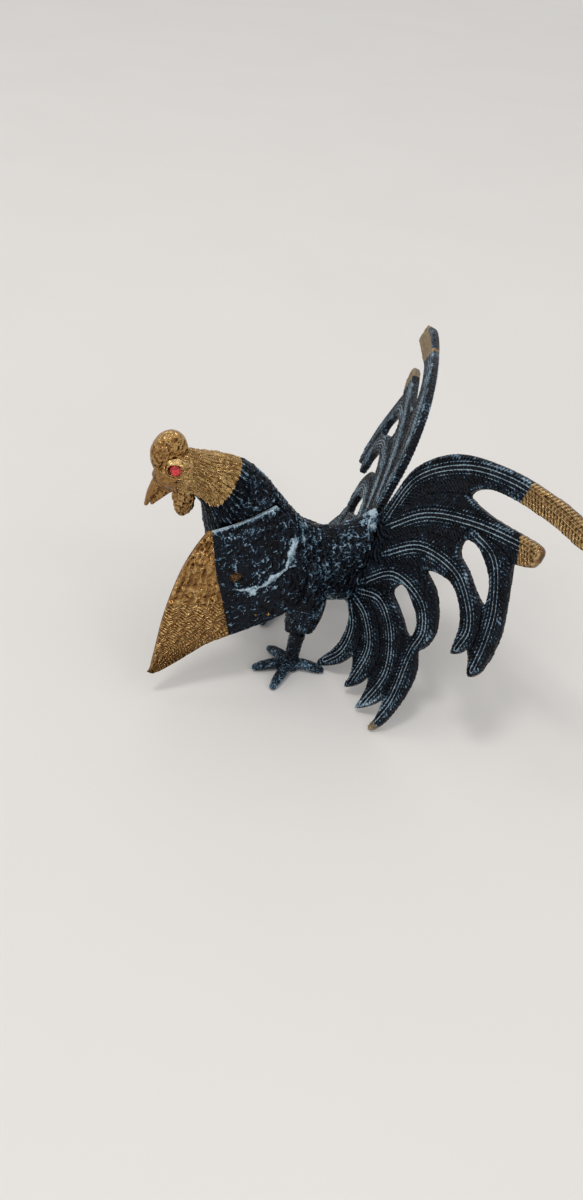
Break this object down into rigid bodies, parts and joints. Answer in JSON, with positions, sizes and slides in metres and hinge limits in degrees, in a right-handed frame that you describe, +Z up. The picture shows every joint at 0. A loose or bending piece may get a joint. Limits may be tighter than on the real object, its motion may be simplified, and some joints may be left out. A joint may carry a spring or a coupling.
{
  "type": "rooster figure",
  "caption": "Free-standing fighting cockerel figure: hollow cast body with a dropped wing, fanned openwork tail plates, bare feet and glass eyes.",
  "frame": {"origin": "centre of the bounding box on the ground the figure stands on", "axes": "+Z up, the bird faces -Y, its left side is towards +X"},
  "size_m": [0.2104, 0.1682, 0.1269],
  "materials": {
    "patinated_brass": "blue-black patina with pale blue verdigris on the ridges, bare on head, wing tips and tail tips",
    "bare_brass": "aged bare brass",
    "eye_glass": "faceted red glass"
  },
  "bodies": {
    "root": {"body_half_left": "patinated_brass", "body_half_right": "patinated_brass", "wing_left": "patinated_brass", "wing_right": "patinated_brass", "tail_plate_left": "patinated_brass", "tail_plate_right": "patinated_brass", "leg_left": "patinated_brass", "leg_right": "patinated_brass", "wing_screw_left": "bare_brass", "wing_screw_right": "bare_brass", "wing_nut_left": "bare_brass", "wing_nut_right": "bare_brass", "tail_screw_left": "bare_brass", "tail_screw_right": "bare_brass", "tail_nut_left": "bare_brass", "tail_nut_right": "bare_brass", "leg_nut_left": "bare_brass", "leg_nut_right": "bare_brass", "eye_left": "eye_glass", "eye_right": "eye_glass"}
  },
  "joints": []
}
